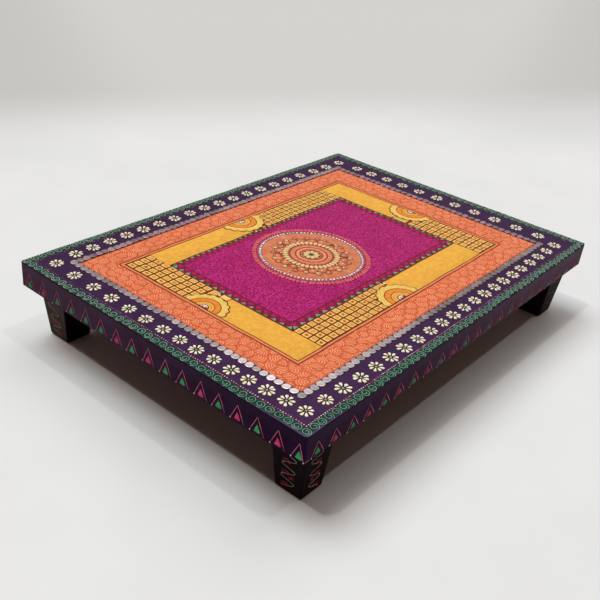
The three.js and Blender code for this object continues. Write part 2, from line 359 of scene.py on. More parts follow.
def edges(insets):
    """Start and end of a band's line on each side, in the order of SIDES."""
    spots = corners(insets)
    return [(spots[i], spots[(i + 1) % 4]) for i in range(4)]


def spaced(first, last, pitch):
    """Points from one end towards the other, about the pitch apart."""
    count = round(np.linalg.norm(last - first) / pitch)
    return [first + (last - first) * (i / count) for i in range(count)]


def around(count, loose=0.0, rng=None):
    """Angles of forms that stand round a middle, each up to a share of the pitch off its place."""
    for i in range(count):
        off = rng.uniform(-loose, loose) if loose else 0.0
        yield TURN * (i + off) / count


def pulled_in(points, margin):
    """Points near the front right corner moved inwards, where the band stands off from the edges."""
    points = np.asarray(points, float)
    share_x = np.clip(1 - (HALF_X - points[..., 0]) / NEAR_REACH, 0, 1)
    share_y = np.clip(1 - (points[..., 1] + HALF_Y) / NEAR_REACH, 0, 1)
    pull = margin * share_x * share_y
    return np.stack([points[..., 0] - pull, points[..., 1] + pull], -1)


def frame_line(insets, radius=0.6, margin=0.0):
    """A closed line round the top at the given insets, with the same count of points for every band."""
    spots = corners(insets)
    line = []
    for i in range(4):
        before, corner, after = spots[i - 1], spots[i], spots[(i + 1) % 4]
        into = (corner - before) / np.linalg.norm(corner - before)
        away = (after - corner) / np.linalg.norm(after - corner)
        for share in np.linspace(0, 1, CORNER_STEPS):
            turn = share * math.pi / 2
            centre = corner - into * radius + away * radius
            line.append(centre + into * radius * math.sin(turn) - away * radius * math.cos(turn))
        start = corner + away * radius
        end = after - away * radius
        for share in np.linspace(0, 1, SIDE_STEPS)[1:-1]:
            line.append(start + (end - start) * share)
    return pulled_in(line, margin)


def middle(a, b, share=0.5):
    return tuple(p + (q - p) * share for p, q in zip(a, b))


def bands(relief, outer, inner, steps):
    """Bands side by side between two insets: where each ends on the way in, its height and its colour."""
    start = frame_line(outer)
    for share, height, material in steps:
        end = frame_line(middle(outer, inner, share))
        band(relief, start, end, height, material=material)
        start = end


def rays(turn):
    """Unit vectors at the given angles."""
    return np.column_stack([np.cos(turn), np.sin(turn)])


def circle(centre, radius, count, start=0.0):
    return centre + radius * rays(start + np.arange(count) * (TURN / count))


def turned(points, angle, centre=(0.0, 0.0)):
    points = np.asarray(points, float)
    c, s = math.cos(angle), math.sin(angle)
    return np.column_stack([
        centre[0] + points[:, 0] * c - points[:, 1] * s,
        centre[1] + points[:, 0] * s + points[:, 1] * c,
    ])


# Materials

def linear(colour):
    """Linear red, green and blue from an 8-bit sRGB colour."""
    values = [c / 255 for c in colour]
    return tuple(v / 12.92 if v <= 0.04045 else ((v + 0.055) / 1.055) ** 2.4 for v in values) + (1.0,)


def darker(colour, share):
    return tuple(int(c * share) for c in colour)


def fill(tree, node, inputs):
    """Gives a node its inputs, which are values or other nodes' outputs."""
    for name, value in inputs.items():
        if isinstance(value, bpy.types.NodeSocket):
            tree.links.new(value, node.inputs[name])
        else:
            node.inputs[name].default_value = value
    return node


def new_node(tree, kind, inputs):
    """A new node, with its inputs given by name or by number."""
    return fill(tree, tree.nodes.new("ShaderNode" + kind), inputs)


class Nodes:
    """Short calls for a material's nodes."""

    def __init__(self, name):
        self.material = bpy.data.materials.new(name)
        self.material.use_nodes = True
        self.tree = self.material.node_tree
        self.shader = self.tree.nodes["Principled BSDF"].inputs
        self.coordinates = self.node("TexCoord", {}).outputs
        self.where = self.coordinates["Object"]

    def node(self, kind, inputs):
        return new_node(self.tree, kind, inputs)

    def noise(self, size, detail=3.0, stretch=(1.0, 1.0, 1.0), distortion=0.0):
        place = self.node("Mapping", {"Vector": self.where, "Scale": stretch}).outputs["Vector"]
        inputs = {"Vector": place, "Scale": 1.0 / (size * MM), "Detail": detail}
        inputs.update({"Roughness": 0.55, "Distortion": distortion})
        return self.node("TexNoise", inputs).outputs["Fac"]

    def fit(self, value, low, high, to_low=0.0, to_high=1.0):
        inputs = {"Value": value, "From Min": low, "From Max": high, "To Min": to_low, "To Max": to_high}
        span = self.node("MapRange", inputs)
        span.interpolation_type = "SMOOTHSTEP"
        return span.outputs["Result"]

    def mix(self, share, first, second):
        ends = [linear(end) if isinstance(end, tuple) else end for end in (first, second)]
        blend = self.tree.nodes.new("ShaderNodeMix")
        blend.data_type = "RGBA"
        fill(self.tree, blend, {"Factor": share, "A": ends[0], "B": ends[1]})
        return blend.outputs["Result"]

    def clouds(self, size, low=0.36, high=0.66):
        return self.fit(self.noise(size, detail=4.0), low, high)

    def specked(self, colours, size, low, high, most, over, detail=4.0, stretch=(1.0, 1.0, 1.0)):
        """The colours with specks or streaks of another over them."""
        specks = self.noise(size, detail, stretch)
        return self.mix(self.fit(specks, low, high, 0.0, most), colours, over)

    def part(self, kind, letter):
        """One coordinate of the place, or of the surface's own direction."""
        return self.node("SeparateXYZ", {"Vector": self.coordinates[kind]}).outputs[letter]

    def level(self, low, high):
        """From 0 to 1 between two heights over the table's top, in millimetres."""
        return self.fit(self.part("Object", "Z"), (TOP + low) * MM, (TOP + high) * MM)

    def ramp(self, direction, low, high):
        """From 0 to 1 between two distances from the table's middle in a level direction."""
        product = self.node("VectorMath", {0: self.where, 1: (*direction, 0.0)})
        product.operation = "DOT_PRODUCT"
        return self.fit(product.outputs["Value"], low, high)

    def nearness(self, low, high):
        """From 0 to 1 along both near sides, from their far ends to the corner that they share."""
        return self.ramp((0.5 / (HALF_X * MM), -0.5 / (HALF_Y * MM)), low, high)

    def finish(self, colours, wear, rough, height, depth, shine=0.5, metallic=0.0):
        """The material, with a roughness that follows the wear, and with fine bumps."""
        bump = self.node("Bump", {"Height": height, "Distance": depth * MM, "Strength": 1.0})
        self.tree.links.new(bump.outputs["Normal"], self.shader["Normal"])
        self.tree.links.new(colours, self.shader["Base Color"])
        self.tree.links.new(self.fit(wear, 0.3, 0.7, *rough), self.shader["Roughness"])
        self.shader["Specular IOR Level"].default_value = shine
        self.shader["Metallic"].default_value = metallic
        return self.material

    def varnish(self, colours, grain=0.9, rough=(0.42, 0.6), depth=0.05, shine=SATIN):
        """A satin coat, with roughness and bumps from one fine noise."""
        fine = self.noise(grain, detail=4.0)
        return self.finish(colours, fine, rough, fine, depth, shine)


def paint(name, colour, second, patch=9.0, far=None, grain=0.9, other_tone=None, hollow_shade=None):
    """Brushed craft paint: uneven colour, a duller far end, grain, painted shade in the hollows and worn
    specks.
    """
    made = Nodes(name)
    colours = made.mix(made.clouds(patch, 0.38, 0.64), colour, second)
    if far:
        colours = made.mix(made.nearness(0.1, 0.85), far, colours)
    dark = darker(colour, 0.8)
    colours = made.specked(colours, grain * 1.8, 0.5, 0.72, 0.5, dark, 3.0, (1.0, 0.7, 1.0))
    if hollow_shade:
        # Lower parts of the relief take the darker colour: painted shade in the hollows
        colours = made.mix(made.level(0.16, 0.44), hollow_shade, colours)
    if other_tone:
        colours = made.specked(colours, grain * 1.4, 0.62, 0.7, 0.85, other_tone, 2.0)
    return made.varnish(colours, grain)


def foil(name, colour, second, near=None, reach=None, metallic=0.75):
    """Bright foil under varnish, a little dull and uneven, with a painted highlight that brightens it towards
    the near corner.
    """
    made = Nodes(name)
    colours = made.mix(made.fit(made.noise(6.0), 0.35, 0.65), colour, second)
    if near:
        # Painted highlight towards the near corner
        colours = made.mix(made.nearness(*reach), colours, near)
    tarnish = made.noise(1.6, detail=4.0)
    colours = made.mix(made.fit(tarnish, 0.52, 0.75, 0.0, 0.6), colours, darker(second, 0.66))
    return made.finish(colours, tarnish, (0.28, 0.48), made.noise(2.4, detail=2.0), 0.1, metallic=metallic)


def wood(name, colour, second, ring=3.0):
    """Sawn wood with long grain and pores."""
    made = Nodes(name)
    lengthwise = (1.0, 0.06, 1.0)
    grain = made.noise(ring, 6.0, lengthwise, distortion=0.6)
    colours = made.mix(made.fit(grain, 0.35, 0.65), colour, second)
    pores = made.noise(0.7, stretch=lengthwise)
    colours = made.mix(made.fit(pores, 0.56, 0.7, 0.0, 0.7), colours, darker(colour, 0.6))
    return made.finish(colours, grain, (0.54, 0.74), pores, 0.12, shine=0.2)


# Aubergine of the short and the long sides: colour and second colour at the far ends, then at the near
# corner, where the deeper tones are painted shade
SIDE_TONES = (
    ((72, 50, 74), (70, 43, 60), (36, 11, 45), (32, 8, 36)),
    ((84, 59, 82), (82, 52, 68), (44, 16, 52), (40, 13, 43)),
)


def side_colours(made):
    """The aubergine of the board's edge and the rails, with painted shade that deepens it towards the near
    corner and on the front.
    """
    clouds = made.clouds(22.0)
    # Painted shade: darker towards the near corner
    near = made.nearness(-0.1, 1.1)
    sides = [made.mix(near, made.mix(clouds, a, b), made.mix(clouds, c, d)) for a, b, c, d in SIDE_TONES]
    # Painted shade: the front face takes the deeper tones
    colours = made.mix(made.fit(made.part("Normal", "Y"), -0.8, -0.4), *sides)
    return made.specked(colours, 2.4, 0.55, 0.8, 0.6, (44, 20, 42), stretch=(0.4, 0.4, 1.0))


def board_paint():
    """The top board: purple on its face, a dark line along its arris and aubergine on its edge."""
    made = Nodes("board_purple")
    clouds = made.clouds(14.0)
    away = made.mix(clouds, (60, 36, 72), (54, 31, 63))
    close = made.mix(clouds, (69, 43, 80), (62, 37, 71))
    face = made.mix(made.nearness(0.2, 0.9), away, close)
    face = made.specked(face, 2.0, 0.5, 0.75, 0.6, (46, 27, 56), stretch=(1.0, 0.3, 1.0))
    arris = made.mix(made.level(-0.7, -0.3), (18, 10, 20), face)
    colours = made.mix(made.level(-1.7, -1.2), side_colours(made), arris)
    return made.varnish(colours, shine=SIDE_SATIN * 2)


def side_paint():
    """The rails' coat."""
    made = Nodes("side_aubergine")
    return made.varnish(side_colours(made), rough=(0.38, 0.56), shine=SIDE_SATIN)


def leg_paint():
    """Near-black on the right legs; on the left legs a browner tone that is painted light, with near-black
    inner faces as painted shade.
    """
    made = Nodes("leg_black")
    clouds = made.clouds(12.0, high=0.64)
    dark = made.mix(clouds, (27, 17, 22), (23, 15, 17))
    # Painted light: the browner tone of the left legs, which face the light
    other_tone = made.mix(clouds, (76, 64, 58), (60, 50, 46))
    # Painted shade: the left legs' faces towards +X go near-black
    other_tone = made.mix(made.fit(made.part("Normal", "X"), 0.3, 0.6), other_tone, (12, 8, 9))
    colours = made.mix(made.fit(made.part("Object", "X"), -0.05, 0.05), other_tone, dark)
    colours = made.specked(colours, 2.0, 0.5, 0.75, 0.6, (14, 8, 12), stretch=(1.0, 1.0, 0.3))
    return made.varnish(colours, depth=0.06, shine=SIDE_SATIN)


# Each paint's colour and second colour, and where it needs them the size of its patches (usually 9), its
# colour at the far end, its grain (usually 0.9), its colour on worn specks, and its darker colour in hollows,
# painted as shade
PAINTS = {
    "green_ground": ((22, 56, 50), (18, 44, 41)),
    "green_line": ((143, 191, 163), (114, 163, 137), 5.0, (172, 198, 182)),
    "margin_lilac": ((84, 64, 104), (70, 50, 90)),
    "thread_red": ((80, 28, 60), (64, 24, 58), 9.0, (62, 26, 66)),
    "thread_pink": ((232, 150, 150), (240, 186, 180), 9.0, (110, 62, 92)),
    "thread_rose": ((206, 84, 96), (190, 66, 84), 9.0, (104, 40, 70)),
    "thread_white": ((246, 232, 220), (236, 216, 210), 9.0, (150, 108, 124)),
    "dot_white": ((246, 232, 220), (236, 216, 210)),
    "petal_cream": ((255, 248, 228), (250, 233, 188), 4.0),
    "petal_heart": ((206, 194, 196), (160, 142, 156), 3.0),
    "petal_shadow": ((28, 16, 36), (22, 14, 26)),
    "disc_ground": ((46, 24, 34), (34, 18, 28)),
    "crimson_line_and_shadow": ((104, 26, 26), (74, 20, 22)),
    "orange_ground": ((216, 102, 64), (206, 94, 56), 12.0),
    "orange_line": ((255, 166, 122), (252, 155, 112), 12.0),
    "line_dark": ((84, 34, 18), (64, 26, 14)),
    "check_line": ((122, 58, 8), (98, 45, 8)),
    "line_brown": ((136, 70, 44), (112, 54, 36)),
    "line_orange": ((238, 142, 92), (228, 128, 80)),
    "yellow_ground": ((243, 182, 70), (233, 168, 68), 7.0, None, 1.5),
    "tile_light": ((255, 208, 118), (252, 192, 98), 5.0),
    "tile_middle": ((214, 134, 60), (196, 116, 48), 4.0),
    "tile_deep": ((166, 88, 36), (140, 70, 28), 4.0),
    "rim_pale": ((244, 208, 112), (234, 190, 90), 4.0),
    "rim_orange": ((238, 146, 54), (228, 128, 46), 5.0),
    "rim_amber": ((244, 182, 84), (238, 168, 68), 5.0),
    "crimson": ((134, 18, 66), (112, 14, 58), 5.0),
    "crimson_bright": ((184, 26, 84), (168, 20, 74), 4.0),
    "teal": ((134, 162, 140), (104, 136, 116), 4.0),
    "tooth_olive": ((104, 124, 78), (84, 104, 64), 4.0),
    "tooth_pale": ((164, 160, 148), (138, 134, 126), 4.0),
    # Magenta's last colour is painted shade between its pebbles
    "magenta": ((201, 41, 130), (189, 29, 120), 24.0, None, 0.9, (222, 84, 152), (134, 4, 72)),
    "lace_dark": ((140, 22, 62), (122, 18, 58), 3.0),
    "coral": ((236, 116, 120), (220, 94, 108), 4.0),
    "coral_pink": ((238, 126, 128), (224, 102, 112), 4.0),
    "coral_light": ((232, 138, 100), (222, 114, 86), 4.0),
    "medal_orange": ((222, 134, 94), (204, 114, 84), 10.0),
    "medal_cream": ((240, 208, 156), (230, 188, 128), 3.0),
    "rose_brown": ((156, 82, 54), (130, 64, 44)),
    "medal_green": ((40, 66, 44), (74, 96, 60), 3.0),
    "bead_ground": ((150, 100, 108), (130, 84, 96), 4.0),
    "peak_pink": ((238, 140, 164), (224, 100, 132), 6.0, (176, 84, 106)),
    "peak_dot": ((250, 214, 200), (240, 190, 186), 3.0, (176, 120, 124)),
    "fill_green": ((70, 176, 98), (50, 150, 84), 6.0, (44, 118, 78)),
    "fill_pink": ((222, 72, 122), (196, 50, 104), 6.0, (150, 44, 82)),
    "dull_green": ((56, 142, 90), (42, 118, 74), 6.0, (44, 96, 70)),
    "dull_pink": ((176, 58, 100), (150, 44, 84), 6.0, (124, 40, 70)),
    "leg_grey": ((178, 164, 152), (140, 126, 118), 4.0),
    "leg_red": ((210, 66, 88), (180, 50, 72), 4.0),
    "leg_dull": ((112, 92, 78), (84, 66, 56), 3.0),
    "leg_rust": ((112, 50, 46), (90, 40, 38), 3.0),
}

# Foil of the discs on each side: colour, second colour, and the tone and reach of its painted highlight
# towards the near corner
FOILS = {
    "front": ((150, 136, 139), (133, 118, 121), (224, 215, 219), (0.34, 1.05)),
    "right": ((128, 110, 108), (110, 92, 92), (176, 164, 168), (0.3, 0.95)),
    "back": ((152, 116, 124), (128, 94, 102), (166, 140, 148), (0.3, 0.9)),
    "left": ((158, 130, 134), (128, 102, 106), (180, 158, 164), (0.3, 0.9)),
}

finishes = {name: paint(name, *values) for name, values in PAINTS.items()}
finishes["disc_foil"] = foil("disc_foil", (168, 142, 138), (146, 120, 120))
finishes["bead_foil"] = foil("bead_foil", (240, 232, 232), (214, 200, 212), metallic=0.3)
finishes["screw_zinc"] = foil("screw_zinc", (168, 168, 170), (148, 148, 150), metallic=0.9)


def disc_foils(side):
    """Names of one side's foil at four tones, as the discs don't all catch the light."""
    names = []
    *colours, reach = FOILS[side]
    for tone in (1.0, 0.88, 1.1, 0.7):
        name = "foil_%s_%d" % (side, tone * 100)
        shades = [tuple(min(int(c * tone), 250) for c in colour) for colour in colours]
        finishes[name] = foil(name, *shades, reach)
        names.append(name)
    return names


# Green band with scrolls, and the dotted thread beside it

def green_band():
    ground = Relief("green_band", "green_ground")
    outer = frame_line(GREEN_OUTER, radius=3.2, margin=NEAR_MARGIN)
    band(ground, outer, frame_line(GREEN_INNER), 0.12)
    ground.finish()
    margin = Relief("near_margin", "margin_lilac")
    edge = frame_line(MARGIN_OUTER, radius=3.6)
    band(margin, edge[NEAR_POINTS], outer[NEAR_POINTS], 0.05, closed=False)
    margin.finish()


def scroll(relief, centre, start, turns, rng):
    """A curl whose outer turn is nearly a full circle and that then winds to its middle."""
    share = np.linspace(0, 1, int(turns * 24))
    angle = start + (share - 0.1) * turns * TURN
    reach = SCROLL_RADIUS * (1.06 - 0.2 * share - 0.66 * share ** 1.8)
    squeeze = 1 + rng.uniform(-0.06, 0.06)
    x = centre[0] + reach * np.cos(angle) * squeeze
    y = centre[1] + reach * np.sin(angle) / squeeze
    ridge(relief, np.column_stack([x, y]), SCROLL_LINE, 0.55, lift=0.1)


def scrolls():
    rng = random.Random(11)
    for side, (first, last) in zip(SIDES, edges(middle(GREEN_OUTER, GREEN_INNER))):
        relief = Relief("scrolls_" + side, "green_line")
        facing = math.atan2(*(last - first)[::-1])
        for centre in spaced(first, last, SCROLL_PITCH):
            start = facing + math.radians(-60 + rng.uniform(-70, 70))
            scroll(relief, pulled_in(centre, NEAR_MARGIN * 0.5), start, rng.uniform(1.4, 1.75), rng)
        relief.finish()


def thread():
    rng = random.Random(5)
    line = Relief("thread_line", "thread_red")
    ridge(line, frame_line(THREAD), 0.8, 0.16, closed=True)
    line.finish()
    dots = Relief("thread_dots", "thread_pink", "thread_rose", "thread_white")
    for first, last in edges(THREAD):
        for centre in spaced(first, last, DOT_PITCH):
            outline = circle(centre, rng.uniform(0.7, 0.95), 7, rng.random())
            dome(dots, outline, 0.5, material=rng.choice((0, 0, 0, 1, 2, 2)))
    dots.finish()


# Daisies on the purple border

def petal(length_in, length_out, half_width, waist):
    """A petal along +X: narrow at its inner end, widest near its round outer end."""
    outline = []
    for turn in np.linspace(0, TURN, 17)[:-1]:
        x = 0.5 * (1 + math.cos(turn))
        width = half_width * math.sin(turn) * (waist + (1.15 - waist) * x)
        outline.append((length_in + (length_out - length_in) * x, width))
    return np.array(outline)


def daisy(petals, hearts, centre, radius, count, rng):
    """Cream petals over a dark round that shows between them as their dark outline and painted shadow, and a
    small pale heart.
    """
    # The dark round: the petals' outline and painted shadow under them
    dome(hearts, circle(centre, radius * 0.8, 16), 0.1, lift=0.02, material=1, soft=False)
    start = rng.uniform(0, TURN / count)
    for i in range(count):
        angle = start + i * TURN / count + rng.uniform(-0.07, 0.07)
        reach = radius * rng.uniform(0.92, 1.06)
        shape = petal(radius * 0.26, reach, radius * rng.uniform(0.24, 0.28) * 8 / count, 0.14)
        dome(petals, turned(shape, angle, centre), 0.75)
    dome(hearts, circle(centre, radius * 0.15, 9), 0.6)


def daisy_row(side, count, ends, spread, insets, seed):
    """Daisies along one edge, at places and insets that open or close smoothly, as a hand-set row does."""
    rng = random.Random(seed)
    petals = Relief("daisies_" + side, "petal_cream")
    hearts = Relief("daisy_hearts_" + side, "petal_heart", "petal_shadow")
    first, last, pull = ends
    bow, lean = spread
    depth, drift, near_depth, far_depth = insets
    for i in range(count):
        share = i / (count - 1)
        along = share + bow * share * (1 - share) + lean * share * (1 - share) * (1 - 2 * share)
        at = first + (last - first) * along + pull * ((1 - share) ** 8 + share ** 8)
        inset = depth + drift * share + near_depth * (1 - share) ** 6 + far_depth * share ** 6
        centre = edge_point(side, at + rng.uniform(-0.4, 0.4), inset + rng.uniform(-0.3, 0.3))
        daisy(petals, hearts, centre, DAISY_RADIUS * rng.uniform(0.95, 1.05), rng.choice((8, 8, 8, 9)), rng)
    petals.finish()
    hearts.finish()


def daisies():
    for side, values in DAISIES.items():
        daisy_row(side, *values)


# Bright discs

def disc(relief, centre, size, angle, tone, rng):
    """A round of foil, a little flat where it meets its neighbours, and a little tilted."""
    turn = np.arange(DISC_POINTS) * TURN / DISC_POINTS
    reach = np.abs(np.cos(turn)) ** DISC_SQUARENESS + np.abs(np.sin(turn)) ** DISC_SQUARENESS
    square = 1 / reach ** (1 / DISC_SQUARENESS)
    uneven = 1 + 0.02 * np.sin(3 * turn + rng.random() * 6)
    outline = rays(turn) * (square * uneven * size / 2)[:, None]
    tilt = rng.uniform(-0.08, 0.08), rng.uniform(-0.08, 0.08)
    rings = []
    for share, rise in DISC_PROFILE:
        flat = turned(outline * share, angle, centre)
        away = flat - centre
        level = SUNK + 0 * turn if rise is None else rise + away[:, 0] * tilt[0] + away[:, 1] * tilt[1]
        rings.append(np.column_stack([flat, level]))
    stack(relief, rings, tone)


def disc_rows():
    ground = Relief("disc_ground", "disc_ground")
    outside = tuple(inset - DISC_SIZE * 0.54 for inset in DISCS)
    band(ground, frame_line(outside), frame_line(ORANGE_OUTER), 0.06)
    ground.finish()
    rng = random.Random(31)
    for side, (first, last) in zip(SIDES, edges(DISCS)):
        relief = Relief("discs_" + side, *disc_foils(side), slot="bright_disc")
        facing = math.atan2(*(last - first)[::-1])
        count = DISC_COUNTS[side]
        start, end = (0, count) if side in ("front", "back") else (1, count - 1)
        for i in range(start, end + 1):
            centre = first + (last - first) * (i / count)
            tone = rng.choice((0, 0, 0, 1, 2))
            # Painted highlight: the front row's last discs take the brightest tone, the corner one the
            # darkest
            if side == "front" and i > end - 6:
                tone = 3 if i == end else 2
            size = DISC_SIZE * rng.uniform(0.98, 1.04)
            disc(relief, centre, size, facing + rng.uniform(-0.16, 0.16), tone, rng)
        piece = relief.finish()
        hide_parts("disc_row_" + side)


# Orange band with curls

def inside(points, insets, margin=0.0):
    front, right, back, left = insets
    x, y = points[:, 0], points[:, 1]
    wide = (x > left - HALF_X + margin) & (x < HALF_X - right - margin)
    return wide & (y > front - HALF_Y + margin) & (y < HALF_Y - back - margin)


def seed_points(insets, spacing, rng):
    """Points set about evenly over the rectangle inside the insets, with some scatter."""
    low, _, high, _ = corners(insets)
    points = []
    row = 0
    y = low[1]
    while y < high[1] + spacing:
        x = low[0] + (spacing / 2 if row % 2 else 0)
        while x < high[0] + spacing:
            points.append((x + rng.uniform(-0.28, 0.28) * spacing, y + rng.uniform(-0.28, 0.28) * spacing))
            x += spacing
        y += spacing * 0.87
        row += 1
    return np.array(points)


def side_of(point):
    """The side of the orange band that a point lies on."""
    depths = {
        "front": (point[1] + HALF_Y) / STRIPE_OUTER[0],
        "right": (HALF_X - point[0]) / STRIPE_OUTER[1],
        "back": (HALF_Y - point[1]) / STRIPE_OUTER[2],
        "left": (point[0] + HALF_X) / STRIPE_OUTER[3],
    }
    return min(depths, key=depths.get)


def runs(mask):
    """Start and end of each unbroken run of true values."""
    changes = np.flatnonzero(np.diff(np.concatenate([[0], mask.astype(int), [0]])))
    return list(zip(changes[::2], changes[1::2]))


def fan(relief, seed, others, edge, rng):
    """Curved ridges round a focus beside the seed, as far as the half-way lines to the other seeds."""
    facing = rng.uniform(0, TURN)
    focus = seed + CURL_CELL * 0.38 * np.array([math.cos(facing), math.sin(facing)])
    radius = CURL_PITCH * 0.4
    while radius < CURL_CELL * 1.3:
        count = max(8, int(TURN * radius / 0.85))
        turn = facing + np.arange(count + 1) * TURN / count
        line = focus + radius * rays(turn)
        own = np.linalg.norm(line - seed, axis=1)
        mask = inside(line, edge, 0.9) & ~inside(line, STRIPE_OUTER, -0.9)
        for other in others:
            away = np.linalg.norm(other - seed)
            beyond = np.linalg.norm(line - other, axis=1) ** 2 - own ** 2
            mask &= beyond / (2 * away) > CURL_GAP
        for start, end in runs(mask):
            if end - start > 2:
                ridge(relief, line[start:end], CURL_WIDTH, 0.5, lift=0.1)
        radius += CURL_PITCH


def curls():
    """Fans of curved ridges that meet each other all over the orange band."""
    rng = random.Random(41)
    # The ridges are lighter than the ground, a contrast raised to paint light on the ridges and shade in the
    # valleys
    ground = Relief("orange_band", "orange_ground", "crimson_line_and_shadow")
    band(ground, frame_line(ORANGE_OUTER), frame_line(STRIPE_OUTER), 0.12)
    # A dark line along the outer edge, widened at the back and the left into painted shadow
    edge = tuple(inset + width for inset, width in zip(ORANGE_OUTER, ORANGE_EDGE_LINE_AND_SHADOW))
    band(ground, frame_line(ORANGE_OUTER), frame_line(edge), 0.2, material=1)
    ground.finish()
    seeds = seed_points(ORANGE_OUTER, CURL_CELL, rng)
    seeds = seeds[~inside(seeds, STRIPE_OUTER, margin=CURL_CELL)]
    reliefs = {side: Relief("orange_curls_" + side, "orange_line") for side in SIDES}
    for seed in seeds:
        gap = np.linalg.norm(seeds - seed, axis=1)
        others = seeds[(gap > 0) & (gap < CURL_CELL * 2.4)]
        fan(reliefs[side_of(seed)], seed, others, edge, rng)
    for relief in reliefs.values():
        relief.finish()


# The double line and the yellow band

def lines():
    relief = Relief("double_line", "line_dark", "line_orange")
    bands(relief, STRIPE_OUTER, YELLOW_OUTER, ((0.22, 0.14, 0), (0.76, 0.24, 1), (1.0, 0.14, 0)))
    relief.finish()


class Strip:
    """One side's strip of the yellow band, with its rosette; places count along it and inwards."""

    def __init__(self, side):
        number = SIDES.index(side)
        if side in ("front", "back"):
            start = YELLOW_OUTER[3]
            self.run = WIDTH - start - YELLOW_OUTER[1]
        else:
            start = YELLOW_INNER[0]
            self.run = LENGTH - start - YELLOW_INNER[2]
        self.depth = YELLOW_INNER[number] - YELLOW_OUTER[number]
        self.origin = np.array(edge_point(side, start, YELLOW_OUTER[number]))
        self.inward = -np.array(OUTWARDS[side])
        self.along = np.abs(self.inward[::-1])
        place, self.radius = ROSETTES[side]
        self.rosette_at = place - self.origin @ self.along

    def at(self, along, inward):
        return self.origin + self.along * along + self.inward * inward

    def ray(self, turn):
        """The way out from the rosette's middle at an angle."""
        return self.along * math.cos(turn) + self.inward * math.sin(turn)


def quad(points):
    """Four corners as an outline that runs counter-clockwise."""
    points = np.asarray(points, float)
    area = 0.0
    for i in range(4):
        a, b = points[i], points[(i + 1) % 4]
        area += a[0] * b[1] - a[1] * b[0]
    return points[::-1] if area < 0 else points


def tile(relief, points, rng, marked):
    """A raised check, and on some a small dark square with a light heart."""
    points = quad(points)
    centre = points.mean(0)
    dome(relief, centre + (points - centre) * TILE_SHARE, 0.22, lift=0.12, soft=False)
    rim = centre + (points - centre) * rng.uniform(0.4, 0.52)
    dome(relief, rim, 0.06, lift=0.3, material=3, soft=False)
    dome(relief, centre + (rim - centre) * 0.6, 0.06, lift=0.34, soft=False)
    size = rng.uniform(0.2, 0.28) if marked else rng.uniform(0.1, 0.15)
    heart = turned((points - centre) * size, rng.uniform(-0.3, 0.3), centre)
    dome(relief, heart, 0.1, lift=0.38, material=1, soft=False)


def check_corners(start, end, depth, rows, way, rng):
    """Corners of the checks, closer towards the rosette, and inside the strip a little off their places."""
    places = {}
    for i in range(rows + 1):
        for j in range(5):
            share = i / rows if way > 0 else 1 - i / rows
            share += 0.28 * share * (1 - share) / rows * 4
            share = share if way > 0 else 1 - share
            slack_u = rng.uniform(-0.6, 0.6) if 0 < i < rows else 0
            slack_v = rng.uniform(-0.6, 0.6) if 0 < j < 4 else 0
            places[i, j] = np.array((start + (end - start) * share + slack_u, depth * j / 4 + slack_v))
    return places


def upright(relief, strip, low, high, way):
    """A bar or tile between the rosette and the inner line."""
    foot = math.sqrt(strip.radius ** 2 - min(low ** 2, high ** 2)) + 1.6
    if strip.depth - foot > 2:
        ends = [(low, foot), (high, foot), (high, strip.depth - 0.9), (low, strip.depth - 0.9)]
        spots = [strip.at(strip.rosette_at + u * way, v) for u, v in ends]
        dome(relief, quad(spots), 0.2, lift=0.12, soft=False)


def checks(relief, ground, side, rng):
    """One side's checked stretch, with a ladder of narrow bars over the rosette."""
    strip = Strip(side)
    middle_at, radius, depth = strip.rosette_at, strip.radius, strip.depth
    way, pitch, bars_from, bars_to, last = CHECKS[side]
    start, end = (0.0, middle_at) if way > 0 else (middle_at, strip.run)
    lower, upper = min(start, middle_at + last * way), max(end, middle_at + last * way)
    outline = [strip.at(lower, 0), strip.at(upper, 0), strip.at(upper, depth), strip.at(lower, depth)]
    dome(ground, quad(outline), 0.02, lift=0.1, material=1, soft=False)
    rows = round((end - start) / pitch)
    places = check_corners(start, end, depth, rows, way, rng)
    for i in range(rows):
        for j in range(4):
            spot = [places[i, j], places[i + 1, j], places[i + 1, j + 1], places[i, j + 1]]
            u, v = np.mean(spot, axis=0)
            over_rosette = (u - middle_at) * way > bars_from and v > radius - 6
            if math.hypot(u - middle_at, v) < radius - 3 or over_rosette:
                continue
            tile(relief, [strip.at(*place) for place in spot], rng, (i + j) % 2 == 0)
    bars = round((bars_to - bars_from) / LADDER_PITCH)
    for i in range(bars):
        bar_at = bars_from + (bars_to - bars_from) * (i + 0.5) / bars
        upright(relief, strip, bar_at - LADDER_PITCH * 0.34, bar_at + LADDER_PITCH * 0.34, way)
    if last - bars_to > 5:
        upright(relief, strip, bars_to + 4.6, last - 0.9, way)
    dot_at = strip.at(middle_at + (bars_to + 2.0) * way, radius + 3.6)
    dome(relief, circle(dot_at, 1.7, 10), 0.4, lift=0.3, material=2)


def yellow_band():
    ground = Relief("yellow_band", "yellow_ground", "check_line")
    relief = Relief("yellow_checks", "tile_light", "tile_deep", "dot_white", "tile_middle")
    rng = random.Random(51)
    bands(ground, YELLOW_OUTER, YELLOW_INNER, ((0.97, 0.1, 0), (1.0, 0.2, 1)))
    for side in SIDES:
        checks(relief, ground, side, rng)
    ground.finish()
    relief.finish()


def half_ring(relief, strip, inner, outer, height, material, swell=0.0):
    """Half of a ring round the rosette's middle, with scallops where it swells."""
    share = np.linspace(0, math.pi, 61)
    wave = np.abs(np.sin(share * ROSETTE_SCALLOPS)) * swell
    centre = strip.at(strip.rosette_at, 0.3)
    ray = np.cos(share)[:, None] * strip.along + np.sin(share)[:, None] * strip.inward
    outside = centre + ray * (outer + wave)[:, None]
    within = centre + ray * inner
    if strip.along[0] * strip.inward[1] - strip.along[1] * strip.inward[0] < 0:
        outside, within = outside[::-1], within[::-1]
    band(relief, outside, within, height, lift=0.1, material=material, closed=False)


